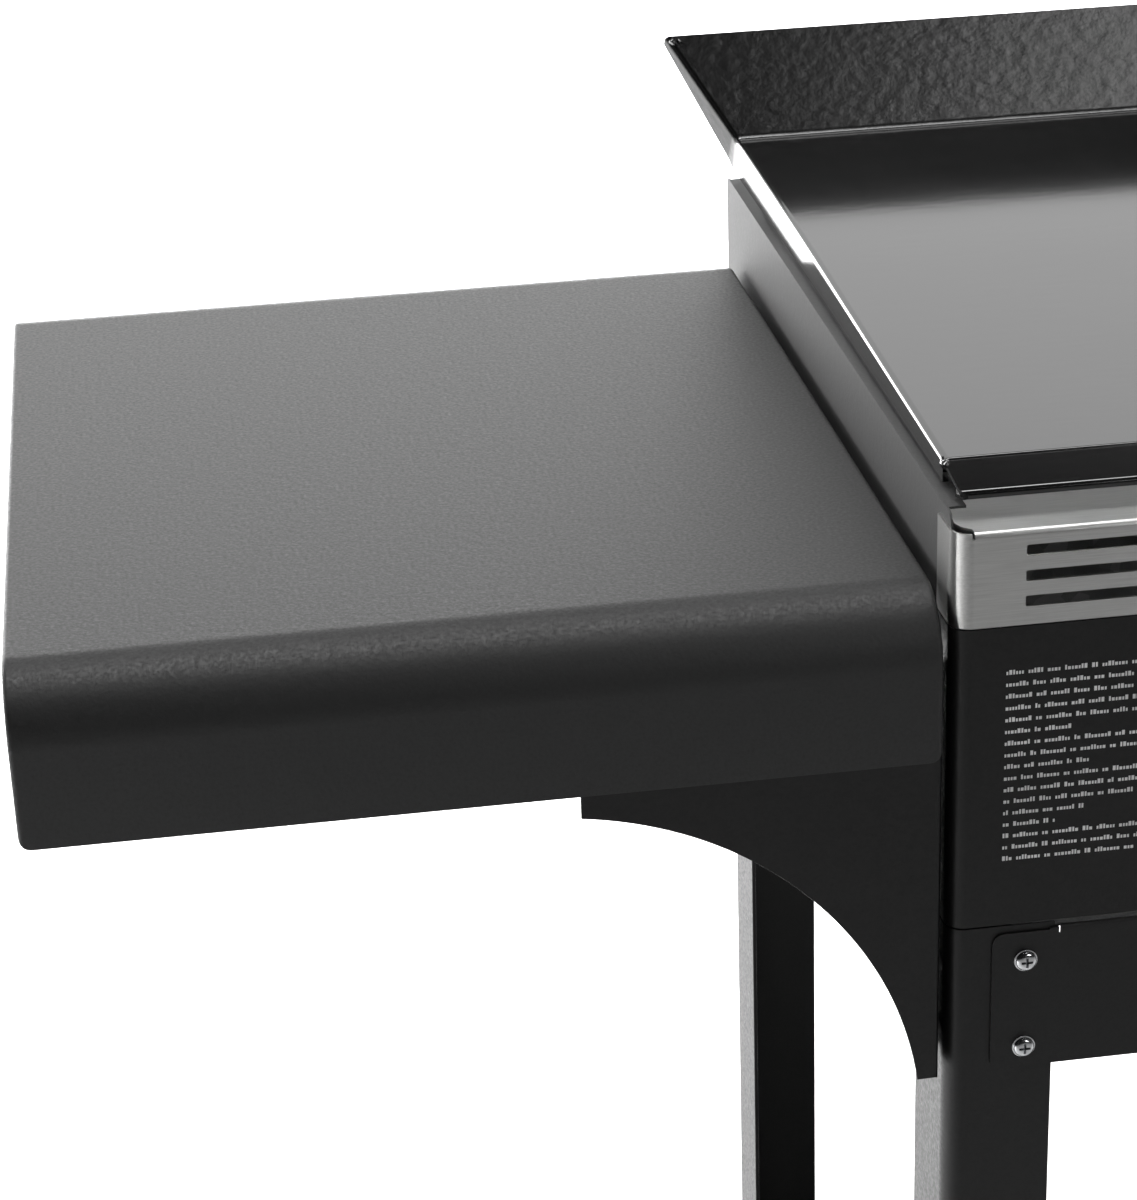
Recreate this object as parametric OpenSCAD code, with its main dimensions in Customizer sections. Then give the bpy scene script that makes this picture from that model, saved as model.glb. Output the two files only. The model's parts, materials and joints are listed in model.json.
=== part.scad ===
// Gas griddle cart: enamelled steel plate over three tube burners, on a sheet-steel
// cart with two side shelves, corner gussets, four folded legs, two feet and two wheels.
// Origin: middle of the footprint, on the floor. +X to the user's right, +Y to the back.

/* [Body] */
// Width of the burner box
body_w = 660; // [600:5:760]
// Depth of the burner box, front face to back face
body_d = 463; // [440:1:500]
// Height of the side shelf surface above the floor
shelf_z = 840; // [800:5:880]
// Thickness of the folded sheet
sheet = 1; // [0.8:0.1:1.2]
// Outer radius of the upright folded corners
corner_r = 8; // [6:1:12]

/* [Front] */
// Height of the steel trim strip
trim_h = 40; // [34:1:46]
// Height of the trim's top edge above the shelf surface
trim_rise = 25.5; // [20:0.5:30]
// Depth of the trim's top flange
trim_flange = 46; // [40:1:50]
// Depth of the trim's side tabs
trim_tab = 25; // [20:1:30]
// Height of the control panel
panel_h = 133; // [125:1:140]
// Depth of the control panel's side returns
panel_return = 60; // [40:1:70]
// Length of one vent slot
slot_l = 230; // [150:5:260]
// Height of one vent slot
slot_h = 4.5; // [4:0.5:6]
// Distance between vent slots
slot_pitch = 10.7; // [9:0.1:12]

/* [Side shelves] */
// Width of a side shelf
shelf_w = 360; // [300:5:400]
// Depth of a side shelf, skirt to skirt
shelf_d = 452; // [400:1:470]
// Height of the shelf skirts
skirt_h = 69; // [60:1:80]
// Radius of the rolled front and back edges
skirt_r = 28; // [20:1:32]
// Gap between shelf and body
shelf_gap = 4; // [3:0.5:6]
// Radius of the gusset's hollow arc
gusset_r = 159; // [140:1:160]

/* [Legs] */
// Width of a leg's front flange
leg_w = 45; // [40:1:50]
// Depth of a leg's side flange
leg_d = 50; // [44:1:56]
// Height of the rails between the legs
rail_h = 65; // [56:1:72]
// Height of the bottom shelf surface
base_z = 170; // [150:5:220]
// Radius of a wheel
wheel_r = 75; // [60:1:80]
// Width of a wheel
wheel_w = 30; // [24:1:34]

/* [Griddle plate] */
// Gap between the plate's skirt and the outside of the body
plate_gap = 5; // [4:0.5:8]
// Thickness of the plate's steel
plate_t = 3; // [2.5:0.5:4]
// Height of the plate's rim above the shelf at the front
plate_front = 42; // [40:1:46]
// Height of the plate's rim above the shelf at the backsplash
plate_back = 56; // [50:1:58]
// Height of the backsplash above the plate
splash_h = 51; // [40:1:60]
// Backward lean of the backsplash at its top
splash_lean = 20; // [10:1:24]
// Sideways flare of the backsplash at its top
splash_flare = 32; // [20:1:34]

/* [Controls] */
// Distance between burners, and between knobs
burner_pitch = 185; // [180:5:200]
// Radius of a knob
knob_r = 21; // [18:1:24]
// Push travel of a knob
knob_push = 3; // [2:0.5:3]

/* [Hidden] */
$fn = 64;
half_w = body_w / 2;
half_d = body_d / 2;
front = -half_d;
leg_t = 2 * sheet;
trim_top = shelf_z + trim_rise;
trim_low = trim_top - trim_h;
panel_low = trim_low - panel_h;
leg_top = panel_low - 0.5;
rail_low = panel_low - 2 - rail_h;
side_top_front = shelf_z + 31;
side_top_back = shelf_z + 36;
shelf_x = half_w + shelf_gap;
shelf_front = front - 4;
axle_r = 5;
axle_x = half_w - 24;
axle_end = 42;
foot_h = 25;
foot_pad = 6;
wheel_leg_z = wheel_r - 22;
floor_z = trim_low - 100;
baffle_y = front + 78;
knob_z = panel_low + 70;
manifold_y = front + 45;
manifold_z = knob_z - 24;
manifold_r = 9;
manifold_end = burner_pitch + 70;
valve_front = manifold_y - 10;
valve_back = manifold_y + 12;
burner_z = knob_z + 14;
spark_x = 29;
spark_y = baffle_y + 75;
lead_r = 1.5;
lead_z = knob_z - 4;
burner_r = 18;
venturi_r = 11;
stem_r = 3;
collar_y = valve_front - 14;
inlet_r = 10;
inlet_l = 24;
inlet_low = manifold_z - 40;
plate_x = half_w - plate_gap;
plate_y = front + 39;
fold_y = front + 460;
front_z = shelf_z + plate_front;
fold_z = shelf_z + plate_back;
lip_y = front + 15;
lip_z = shelf_z + 33.5;
skirt_low_front = shelf_z + 32.5;
skirt_low_back = shelf_z + 38;
drain_x = burner_pitch / 2;
drain_y = baffle_y + 22;
drain_r = 7;
tray_w = 130;
tray_h = 20;
tray_front = front + 66;
tray_z = panel_low + 3;
handle_y = half_d + 8;
screw_r = 2.5;
head_r = 5;
head_h = 3;
rail_end = 18.5;
rail_holes = [rail_low + 9.7, rail_low + rail_h - 14.6];
screw_in = 32.5;
spots = [-1, 0, 1];
sides = [-1, 1];
bolt_y = [-140, 0, 140];
bolt_z = shelf_z - 24;
flange_h = 34;
gusset_low = rail_low;
enamel = [0.03, 0.03, 0.03];
powder = [0.09, 0.09, 0.09];

// A rod along X from x0 to x1
module rod_x(r, x0, x1) {
    translate([x0, 0, 0]) rotate([0, 90, 0]) cylinder(r = r, h = x1 - x0);
}

// A rod along Y from y0 to y1
module rod_y(r, y0, y1) {
    translate([0, y0, 0]) rotate([-90, 0, 0]) cylinder(r = r, h = y1 - y0);
}

// A box between two corners
module span(a, b) {
    translate(a) cube(b - a);
}

// Turns a flat outline drawn as (y, z) into a plate standing across X
module across_x(x0, x1) {
    translate([x0, 0, 0]) rotate([90, 0, 90]) linear_extrude(x1 - x0) children();
}

// Turns a flat outline drawn as (x, z) into a plate standing across Y
module across_y(y0, y1) {
    translate([0, y1, 0]) rotate([90, 0, 0]) linear_extrude(y1 - y0) children();
}

// Flat rectangle centred on the origin with round corners
module round_rect(w, d, r) {
    square([w - 2 * r, d], center = true);
    square([w, d - 2 * r], center = true);
    for (x = sides, y = sides) translate([x * (w / 2 - r), y * (d / 2 - r)]) circle(r);
}

// Quarter with one round corner at the origin
module round_corner(a, b, r) {
    translate([r, 0]) square([a - r, b]);
    translate([0, r]) square([a, b - r]);
    translate([r, r]) circle(r);
}

// Folded L outline with a round outer corner at the origin
module folded_l(a, b, r, t) {
    difference() {
        round_corner(a, b, r);
        translate([t, t]) round_corner(a, b, r - t);
    }
}

// Outline with two round top corners, hanging down from zero
module arch(d, h, r) {
    intersection() {
        union() {
            translate([r - d / 2, -h]) square([d - 2 * r, h]);
            translate([-d / 2, -h]) square([d, h - r]);
            for (s = sides) translate([s * (d / 2 - r), -r]) circle(r);
        }
        translate([-d / 2, -h]) square([d, h]);
    }
}

// Folded wrap around the front of the body: front face and two side returns
module front_wrap(depth, r) {
    difference() {
        translate([0, front + depth]) wrap_outline(half_w, depth, r);
        translate([0, front + depth + 1]) wrap_outline(half_w - sheet, depth + 1 - sheet, r - sheet);
    }
}

module wrap_outline(w, depth, r) {
    translate([-w, -depth + r]) square([2 * w, depth - r]);
    translate([-w + r, -depth]) square([2 * (w - r), depth]);
    for (s = sides) translate([s * (w - r), -depth + r]) circle(r);
}

// One folded leg; side is -1 left or 1 right, end is -1 front or 1 rear
module leg(side, end) {
    bottom = side < 0 ? foot_pad : wheel_leg_z;
    color(powder) difference() {
        translate([side * half_w, end * half_d, bottom]) scale([-side, -end, 1])
            linear_extrude(leg_top - bottom) folded_l(leg_w, leg_d, corner_r, leg_t);
        for (z = rail_holes) translate([side * (half_w - screw_in), 0, z])
            rod_y(screw_r, end * half_d - 5, end * half_d + 5);
        translate([side * (half_w - screw_in), 0, base_z - 12])
            rod_y(screw_r, end * half_d - 5, end * half_d + 5);
        if (side > 0) translate([axle_x, 0, wheel_r]) rod_y(axle_r, end * half_d - 5, end * half_d + 5);
    }
}

// One rail screwed over the outside of two legs, with a stiffening flange along its top
module rail(end) {
    w = body_w - 2 * rail_end;
    flange_w = body_w - 2 * (leg_w + 4);
    face = end * (half_d + sheet);
    lobe_drop = 1.8;
    color(powder) difference() {
        union() {
            translate([0, 0, rail_low + (rail_h - lobe_drop) / 2])
                across_y(min(face, end * half_d), max(face, end * half_d))
                    round_rect(w, rail_h - lobe_drop, 5);
            span([-flange_w / 2 - 3.5, min(face, end * half_d), rail_low + rail_h - 10],
                [flange_w / 2 + 3.5, max(face, end * half_d), rail_low + rail_h]);
            span([-flange_w / 2, min(face, face - end * 22), rail_low + rail_h - sheet],
                [flange_w / 2, max(face, face - end * 22), rail_low + rail_h]);
        }
        for (s = sides, z = rail_holes) translate([s * (half_w - screw_in), 0, z])
            rod_y(screw_r, end * half_d - 5, end * half_d + 5);
    }
}

// Four brackets that carry the burner box on the leg tops
module corner_brackets() {
    low = leg_top - 70;
    color("dimgray") for (x = sides, y = sides)
        translate([x * (half_w - leg_t), y * (half_d - leg_t), low]) scale([-x, -y, 1])
            linear_extrude(floor_z - 0.5 - low) folded_l(26, 40, 6.5, 1.5);
}

// Flat sheet of the bottom shelf, held inside the four legs
module bottom_shelf() {
    color(powder) translate([0, 0, base_z - sheet]) linear_extrude(sheet)
        round_rect(body_w - 2 * leg_t, body_d - 2 * leg_t, corner_r);
}

// Bottom shelf's four skirts, turned down between open corners
module bottom_shelf_skirts() {
    x1 = half_w - leg_t;
    y1 = half_d - leg_t;
    color(powder) {
        for (x = sides) span([min(x * x1, x * (x1 - sheet)), corner_r - y1, base_z - 25],
            [max(x * x1, x * (x1 - sheet)), y1 - corner_r, base_z - sheet]);
        for (y = sides) difference() {
            span([corner_r - x1, min(y * y1, y * (y1 - sheet)), base_z - 25],
                [x1 - corner_r, max(y * y1, y * (y1 - sheet)), base_z - sheet]);
            for (x = sides) translate([x * (half_w - screw_in), y * half_d, base_z - 12])
                rod_y(screw_r, -5, 5);
        }
    }
}

// Two plastic feet that cup the left legs
module feet() {
    color("black") for (y = sides) translate([-half_w, y * half_d, 0]) scale([1, -y, 1])
        difference() {
            translate([-2, -2, 0]) linear_extrude(foot_h) folded_l(leg_w + 4, leg_d + 4, 10, 8);
            translate([0, 0, foot_pad]) linear_extrude(foot_h) folded_l(leg_w, leg_d, corner_r, leg_t);
        }
}

module axle() {
    color("silver") translate([axle_x, 0, wheel_r]) rod_y(axle_r, -half_d - axle_end + 1, half_d + axle_end - 1);
}

// Push-on caps that keep the wheels on the axle
module axle_caps() {
    color("black") for (y = sides) translate([axle_x, y * (half_d + axle_end), wheel_r])
        rotate([y * 90, 0, 0]) difference() {
            cylinder(r = 10, h = 4);
            translate([0, 0, 1]) cylinder(r = axle_r, h = 4);
        }
}

// Spoked wheel with a running bore, on the outside of its leg
module wheel(end) {
    rim_r = wheel_r - 12;
    color("black") translate([axle_x, end * (half_d + 6 + wheel_w / 2), wheel_r]) rotate([90, 0, 0]) {
        difference() {
            cylinder(r = rim_r, h = wheel_w - 4, center = true);
            cylinder(r = rim_r - 6, h = wheel_w, center = true);
        }
        difference() {
            union() {
                cylinder(r = 14, h = wheel_w, center = true);
                cylinder(r = rim_r - 3, h = 4, center = true);
                for (a = [0:60:300]) rotate(a) translate([0, -2, -8]) cube([rim_r - 4, 4, 16]);
            }
            cylinder(r = axle_r + 0.08, h = wheel_w + 2, center = true);
        }
    }
}

module tyre(end) {
    rim_r = wheel_r - 12;
    color("dimgray") translate([axle_x, end * (half_d + 6 + wheel_w / 2), wheel_r]) rotate([90, 0, 0])
        rotate_extrude() difference() {
            translate([rim_r + 6, 0]) union() {
                square([12, wheel_w - 8], center = true);
                translate([-2, 0]) square([8, wheel_w], center = true);
                for (s = sides) translate([2, s * (wheel_w / 2 - 4)]) circle(4);
            }
            translate([0, -wheel_w]) square([rim_r, 2 * wheel_w]);
        }
}

// Side panel of the burner box, behind the front wrap
module side_panel(side) {
    back = half_d;
    x0 = side * (half_w - sheet);
    x1 = side * (half_w - 2 * sheet);
    color([0.2, 0.2, 0.2]) {
        difference() {
            across_x(min(x0, x1), max(x0, x1)) {
                polygon([[front + corner_r, panel_low], [back, panel_low], [back, side_top_back - 4],
                    [back - 4, side_top_back], [front + 12, side_top_front],
                    [front + corner_r, trim_top - 1]]);
                translate([back - 4, side_top_back - 4]) circle(4);
            }
            for (y = bolt_y) translate([0, y, bolt_z]) rod_x(screw_r, -half_w - 9, half_w + 9);
        }
        across_x(side > 0 ? x1 - 7 : x1, side > 0 ? x1 : x1 + 7)
            polygon([[front + 14, side_top_front - sheet], [back - 5, side_top_back - sheet],
                [back - 5, side_top_back], [front + 14, side_top_front]]);
    }
}

// Back panel between the side panels, open below for the grease tray
module rear_panel() {
    inner = half_w - 2 * sheet;
    color([0.2, 0.2, 0.2]) {
        across_y(half_d - sheet, half_d) translate([-inner, panel_low + 30])
            square([2 * inner, side_top_back - 6 - panel_low - 30]);
        span([-inner, half_d - 14, side_top_back - 6 - sheet], [inner, half_d - sheet, side_top_back - 6]);
    }
}

// Floor of the burner box, with a hole below the plate's drain
module heat_shield() {
    inner = half_w - 2 * sheet;
    color("silver") difference() {
        union() {
            span([-inner, baffle_y + sheet, floor_z], [inner, half_d - sheet, floor_z + sheet]);
            for (s = sides) span([min(s * inner, s * (inner - sheet)), baffle_y + sheet, floor_z],
                [max(s * inner, s * (inner - sheet)), half_d - sheet, floor_z + 18]);
        }
        translate([drain_x, drain_y, floor_z - 1]) cylinder(r = 18, h = 4);
    }
}

// Wall between the valves and the flames, with a hole for each burner's inlet tube
module front_baffle() {
    inner = half_w - 2 * sheet;
    color("silver") difference() {
        across_y(baffle_y, baffle_y + sheet) translate([-inner, floor_z - 4])
            square([2 * inner, trim_top - 2 - floor_z]);
        for (i = spots) translate([i * burner_pitch, 0, 0]) {
            translate([0, 0, knob_z]) rod_y(venturi_r, baffle_y - 2, baffle_y + 4);
            translate([spark_x, 0, lead_z]) rod_y(lead_r, baffle_y - 2, baffle_y + 4);
        }
    }
}

// Four stepped brackets inside the box that the plate rests on
module plate_rests() {
    wall = half_w - 2 * sheet;
    web = plate_x - plate_t - 5;
    color("silver") for (s = sides, y = [front + 104, half_d - 60]) {
        under = rim_z(y - 12) - plate_t - 0.3;
        scale([s, 1, 1]) {
            span([web - 24, y - 12, under - sheet], [web, y + 12, under]);
            span([web - sheet, y - 12, under - 30], [web, y + 12, under]);
            span([web - sheet, y - 12, under - 30], [wall, y + 12, under - 30 + sheet]);
            span([wall - sheet, y - 12, under - 50], [wall, y + 12, under - 30 + sheet]);
        }
    }
}

// Height of the plate's top at a distance along Y
function rim_z(y) = front_z + (fold_z - front_z) * (y - plate_y) / (fold_y - plate_y);

module control_panel() {
    color(powder) difference() {
        translate([0, 0, panel_low]) linear_extrude(panel_h - 0.5) front_wrap(panel_return, corner_r);
        for (i = spots) translate([i * burner_pitch, 0, knob_z]) rod_y(6, front - 2, front + 4);
    }
}

// Brushed trim: front strip with vent slots, side tabs and a flange under the plate
module front_trim() {
    first = half_w - 29;
    color("gainsboro") difference() {
        union() {
            translate([0, 0, trim_low]) linear_extrude(trim_h) front_wrap(trim_tab, corner_r - 2);
            translate([0, 0, trim_top - sheet]) linear_extrude(sheet) difference() {
                translate([0, front + trim_flange]) wrap_outline(half_w - 2.5, trim_flange - 0.5, corner_r - 3);
                for (s = sides) translate([s * half_w - 3, front + trim_tab]) square([6, 40]);
            }
        }
        for (s = sides, i = [0:2])
            translate([s * (first - slot_l / 2) - slot_l / 2, front - 2, shelf_z + 14.6 - i * slot_pitch])
                cube([slot_l, 6, slot_h]);
    }
}

module knob_bezels() {
    color("silver") for (i = spots) translate([i * burner_pitch, 0, knob_z]) difference() {
        union() {
            rod_y(knob_r + 7, front - 1.5, front);
            translate([0, front - 1.5, 0]) rotate([90, 0, 0])
                cylinder(r1 = knob_r + 7, r2 = knob_r + 5.5, h = 1.5);
        }
        rod_y(6, front - 5, front + 1);
    }
}

// Gas pipe behind the control panel, with saddles that hold it to the baffle
module manifold() {
    color("silver") {
        translate([0, manifold_y, manifold_z]) difference() {
            rod_x(manifold_r, -manifold_end, manifold_end);
            rod_x(manifold_r - 2, -manifold_end + 4, manifold_end - 4);
        }
        for (x = sides) span([x * burner_pitch * 0.5 - 8, manifold_y + manifold_r - 1, manifold_z - 6],
            [x * burner_pitch * 0.5 + 8, baffle_y, manifold_z + 6]);
    }
}

// Inlet elbow under the right end of the manifold, with a plain round spigot
module gas_inlet() {
    x = manifold_end + 12;
    color("goldenrod") difference() {
        union() {
            translate([x - 12, manifold_y - 13, manifold_z - 13]) cube([26, 26, 26]);
            translate([x, manifold_y, inlet_low]) cylinder(r = inlet_r, h = manifold_z - inlet_low);
        }
        translate([x, manifold_y, inlet_low - 1]) cylinder(r = 5, h = 30);
    }
}

// Gas tap on the manifold, with a blind bore for its stem and a jet at the back
module valve(i) {
    color("goldenrod") translate([i * burner_pitch, 0, 0]) difference() {
        union() {
            span([-11, valve_front, manifold_z + manifold_r - 2], [11, valve_back, knob_z + 11]);
            translate([0, 0, knob_z]) rod_y(9, valve_front - 4, valve_front + 2);
            translate([0, 0, knob_z]) rod_y(4, valve_back - 1, valve_back + 14);
        }
        translate([0, 0, knob_z]) rod_y(stem_r + 0.08, valve_front - 8, valve_back - 4);
        translate([0, manifold_y, manifold_z]) rod_x(manifold_r, -20, 20);
    }
}

// Spring collar that moves in with the stem and lets it turn
module collar(i) {
    color("silver") translate([i * burner_pitch, 0, knob_z]) difference() {
        rod_y(7, collar_y, collar_y + 4);
        rod_y(stem_r + 0.06, collar_y - 1, collar_y + 5);
    }
}

module stem(i) {
    color("silver") translate([i * burner_pitch, 0, knob_z]) {
        rod_y(stem_r, front - 26, valve_front + 12);
        rod_y(5.5, collar_y - 2.3, collar_y - 0.3);
        rod_y(5.5, collar_y + 4.3, collar_y + 6);
    }
}

// Knob with a raised grip bar
module knob(i) {
    back = front - 4 - knob_push;
    color("black") translate([i * burner_pitch, 0, knob_z]) difference() {
        union() {
            rod_y(knob_r, back - 12, back);
            translate([0, back - 12, 0]) rotate([90, 0, 0])
                cylinder(r1 = knob_r, r2 = knob_r - 2, h = 3);
            span([-5, back - 29, -knob_r + 3], [5, back - 12, knob_r - 3]);
        }
        rod_y(stem_r, front - 26, front);
    }
}

// Tube burner with a narrower inlet tube that takes the valve's jet
module burner(i) {
    color("silver") translate([i * burner_pitch, 0, 0]) difference() {
        union() {
            translate([0, 0, burner_z]) rod_y(burner_r, baffle_y + 40, half_d - 40);
            translate([0, 0, knob_z]) rod_y(venturi_r, valve_back + 6, baffle_y + 60);
            span([-14, half_d - 44, floor_z + sheet], [14, half_d - 42, burner_z]);
            span([-14, baffle_y + 46, floor_z + sheet], [14, baffle_y + 48, burner_z]);
        }
        translate([0, 0, burner_z]) rod_y(burner_r - 2, baffle_y + 62, half_d - 46);
        translate([0, 0, knob_z]) rod_y(venturi_r - 2, valve_back + 5, baffle_y + 66);
    }
}

// Ceramic spark electrodes beside the burners
module igniters() {
    color("white") for (i = spots) translate([i * burner_pitch + spark_x, spark_y, floor_z + sheet]) {
        span([-4, -8, 0], [4, 8, 3]);
        cylinder(r = 4, h = 40);
        translate([0, 0, 40]) cylinder(r = 1.2, h = 8);
        translate([0, 0, 47]) rod_x(1.2, -8, 0.5);
    }
}

// Leads from the taps' spark switches through the baffle to the electrodes
module ignition_leads() {
    turn_y = valve_front + 8;
    color("black") for (i = spots) translate([i * burner_pitch, 0, lead_z]) {
        translate([0, turn_y, 0]) rod_x(lead_r, 11, spark_x);
        translate([spark_x, turn_y, 0]) sphere(lead_r);
        translate([spark_x, 0, 0]) rod_y(lead_r, turn_y, spark_y - 4);
    }
}

// Enamelled plate: sloping floor, front drip lip, side skirts and flared backsplash
module griddle_plate() {
    color(enamel) {
        difference() {
            across_x(-plate_x, plate_x) polygon([
                [lip_y, lip_z], [lip_y + 1.5, lip_z - 2.5], [plate_y, front_z - plate_t],
                [fold_y, fold_z - plate_t], [fold_y, fold_z], [plate_y, front_z], [lip_y + 1, lip_z + 1.5]]);
            translate([drain_x, drain_y, front_z - 20]) cylinder(r = drain_r, h = 60);
        }
        difference() {
            translate([drain_x, drain_y, front_z - 26]) cylinder(r = drain_r + 2, h = 26);
            translate([drain_x, drain_y, front_z - 30]) cylinder(r = drain_r, h = 60);
            translate([drain_x - 20, drain_y - 20, rim_z(drain_y) - 1]) cube([40, 40, 20]);
        }
        for (s = sides) across_x(s < 0 ? -plate_x : plate_x - plate_t, s < 0 ? -plate_x + plate_t : plate_x)
            polygon([[plate_y, front_z - 9.5], [fold_y, skirt_low_back], [fold_y, fold_z],
                [plate_y, front_z]]);
        backsplash();
        for (s = sides) splash_flange(s);
    }
}

// Leaning trapezoid sheet behind the plate's floor, rooted in its back edge
module backsplash() {
    root = 1.2;
    lean = atan(splash_lean / splash_h);
    slant = (splash_h + root) / cos(lean);
    foot = plate_x - 1;
    top = plate_x + splash_flare;
    translate([0, fold_y - 1, fold_z - root]) rotate([90 - lean, 0, 0]) translate([0, 0, -plate_t])
        linear_extrude(plate_t) polygon([[-foot, 0], [foot, 0], [top, slant], [-top, slant]]);
}

// Flange turned back from the flared edge of the backsplash
module splash_flange(s) {
    low = [plate_x - 0.5, fold_y - 0.6, fold_z - 1.5];
    high = [plate_x + splash_flare - 0.5, fold_y + splash_lean - 0.6, fold_z + splash_h - 1.2];
    depth = [0, 13, -16];
    inner = [1 - plate_t, 0, 0];
    points = [low, high, high + 0.3 * depth, low + depth,
        low + inner, high + inner, high + inner + 0.3 * depth, low + inner + depth];
    scale([s, 1, 1]) polyhedron(points, [[0, 1, 2, 3], [7, 6, 5, 4], [0, 4, 5, 1], [1, 5, 6, 2],
        [2, 6, 7, 3], [3, 7, 4, 0]]);
}

// Open tray that slides out at the back
module grease_tray() {
    x0 = drain_x - tray_w / 2;
    x1 = drain_x + tray_w / 2;
    color("gainsboro") {
        difference() {
            span([x0, tray_front, tray_z], [x1, half_d, tray_z + tray_h]);
            span([x0 + sheet, tray_front + sheet, tray_z + sheet], [x1 - sheet, half_d - sheet, tray_z + tray_h + 1]);
        }
        for (x = [x0 - 6, x1]) span([x, tray_front, tray_z + tray_h - sheet], [x + 6, half_d - 4, tray_z + tray_h]);
        span([drain_x - 40, half_d, tray_z + tray_h - 4], [drain_x + 40, handle_y + 10, tray_z + tray_h - 2]);
        span([drain_x - 40, handle_y + 8, tray_z + 6], [drain_x + 40, handle_y + 10, tray_z + tray_h - 2]);
    }
}

// Two hanging rails that carry the tray by its side lips
module tray_rails() {
    color("silver") for (s = sides) {
        x = drain_x + s * (tray_w / 2 + 7.5);
        out = s > 0 ? 0 : -sheet;
        span([x + out, tray_front + 20, tray_z + tray_h - 3], [x + out + sheet, half_d - 6, floor_z]);
        span([min(x, x - s * 6), tray_front + 20, tray_z + tray_h - 3],
            [max(x, x - s * 6), half_d - 6, tray_z + tray_h - 1.5]);
    }
}

// Side shelf: one sheet rolled down at the front and back, with turned ends
module shelf(side) {
    mid = shelf_front + shelf_d / 2;
    scale([side, 1, 1]) color([0.3, 0.3, 0.3]) difference() {
        union() {
            translate([0, mid, shelf_z]) {
                across_x(shelf_x, shelf_x + shelf_w) difference() {
                    arch(shelf_d, skirt_h, skirt_r);
                    translate([0, -sheet]) arch(shelf_d - 2 * sheet, skirt_h, skirt_r - sheet);
                }
                across_x(shelf_x, shelf_x + sheet) arch(shelf_d, flange_h, skirt_r);
                across_x(shelf_x + shelf_w - sheet, shelf_x + shelf_w) difference() {
                    arch(shelf_d, skirt_h, skirt_r);
                    translate([0, -14]) arch(shelf_d - 28, skirt_h, skirt_r - 14);
                }
            }
        }
        for (y = bolt_y) translate([0, y, bolt_z]) rod_x(screw_r, shelf_x - 2, shelf_x + 4);
    }
}

// Corner gusset with a hollow quarter-round edge, behind a shelf skirt
module gusset(side, end) {
    tip = 144;
    edge = shelf_front + sheet;
    top = shelf_z - 36;
    face = end < 0 ? edge : shelf_front + shelf_d - sheet;
    arc_x = shelf_x + 166;
    arc_z = shelf_z - 236.5;
    scale([side, 1, 1]) color(powder) {
        across_y(min(face, face - end * sheet), max(face, face - end * sheet)) difference() {
            translate([shelf_x, gusset_low]) square([tip, top - gusset_low]);
            translate([arc_x, arc_z]) circle(gusset_r, $fn = 128);
        }
        span([shelf_x, min(face, face - end * 24), gusset_low], [shelf_x + sheet, max(face, face - end * 24), top]);
        span([shelf_x, min(face, face - end * 24), top - sheet],
            [shelf_x + tip, max(face, face - end * 24), top]);
    }
}

// Washers that stand the shelves and gussets off the body
module shelf_spacers() {
    color("black") for (s = sides) scale([s, 1, 1]) {
        for (y = bolt_y) translate([0, y, bolt_z]) difference() {
            rod_x(7, half_w - sheet, shelf_x);
            rod_x(screw_r, half_w - 3, shelf_x + 1);
        }
        for (y = [shelf_front + 16, shelf_front + shelf_d - 16], z = [leg_top - 20, leg_top - 50])
            translate([0, y, z]) rod_x(5, half_w, shelf_x);
    }
}

// Bolts through the shelf ends into the side panels
module shelf_bolts() {
    color("silver") for (s = sides) scale([s, 1, 1])
        for (y = bolt_y) translate([0, y, bolt_z]) {
            rod_x(screw_r, half_w - 8, shelf_x + sheet);
            rod_x(head_r, shelf_x + sheet, shelf_x + sheet + head_h);
            rod_x(4.4, half_w - 2 * sheet - 4, half_w - 2 * sheet);
        }
}

// Pan-head screw pointing along +Z with its head's underside at zero
module pan_screw(length) {
    difference() {
        union() {
            cylinder(r = head_r, h = head_h - 1.4);
            translate([0, 0, head_h - 1.4]) cylinder(r1 = head_r, r2 = head_r - 1.6, h = 1.4);
        }
        for (a = [0, 90]) rotate(a) translate([0, 0, head_h]) cube([4.4, 1.1, 3], center = true);
    }
    translate([0, 0, -length]) cylinder(r = screw_r, h = length);
}

module rail_screws() {
    color("silver") for (x = sides, y = sides, z = rail_holes)
        translate([x * (half_w - screw_in), y * (half_d + sheet), z]) rotate([-y * 90, 0, 0]) pan_screw(5);
}

module base_screws() {
    color("silver") for (x = sides, y = sides)
        translate([x * (half_w - screw_in), y * half_d, base_z - 12]) rotate([-y * 90, 0, 0]) pan_screw(5);
}

leg(-1, -1);  // leg_front_left
leg(1, -1);  // leg_front_right
leg(-1, 1);  // leg_rear_left
leg(1, 1);  // leg_rear_right
rail(-1);  // front_rail
rail(1);  // rear_rail
corner_brackets();
bottom_shelf();
bottom_shelf_skirts();
feet();
axle();
axle_caps();
wheel(-1);  // wheel_front
wheel(1);  // wheel_rear
tyre(-1);  // tyre_front
tyre(1);  // tyre_rear
side_panel(-1);  // side_panel_left
side_panel(1);  // side_panel_right
rear_panel();
heat_shield();
front_baffle();
plate_rests();
control_panel();
front_trim();
knob_bezels();
manifold();
gas_inlet();
valve(-1);  // valve_left
valve(0);  // valve_centre
valve(1);  // valve_right
collar(-1);  // collar_left
collar(0);  // collar_centre
collar(1);  // collar_right
stem(-1);  // stem_left
stem(0);  // stem_centre
stem(1);  // stem_right
knob(-1);  // knob_left
knob(0);  // knob_centre
knob(1);  // knob_right
burner(-1);  // burner_left
burner(0);  // burner_centre
burner(1);  // burner_right
igniters();
ignition_leads();
griddle_plate();
grease_tray();
tray_rails();
shelf(-1);  // shelf_left
shelf(1);  // shelf_right
gusset(-1, -1);  // gusset_front_left
gusset(1, -1);  // gusset_front_right
gusset(-1, 1);  // gusset_rear_left
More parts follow.
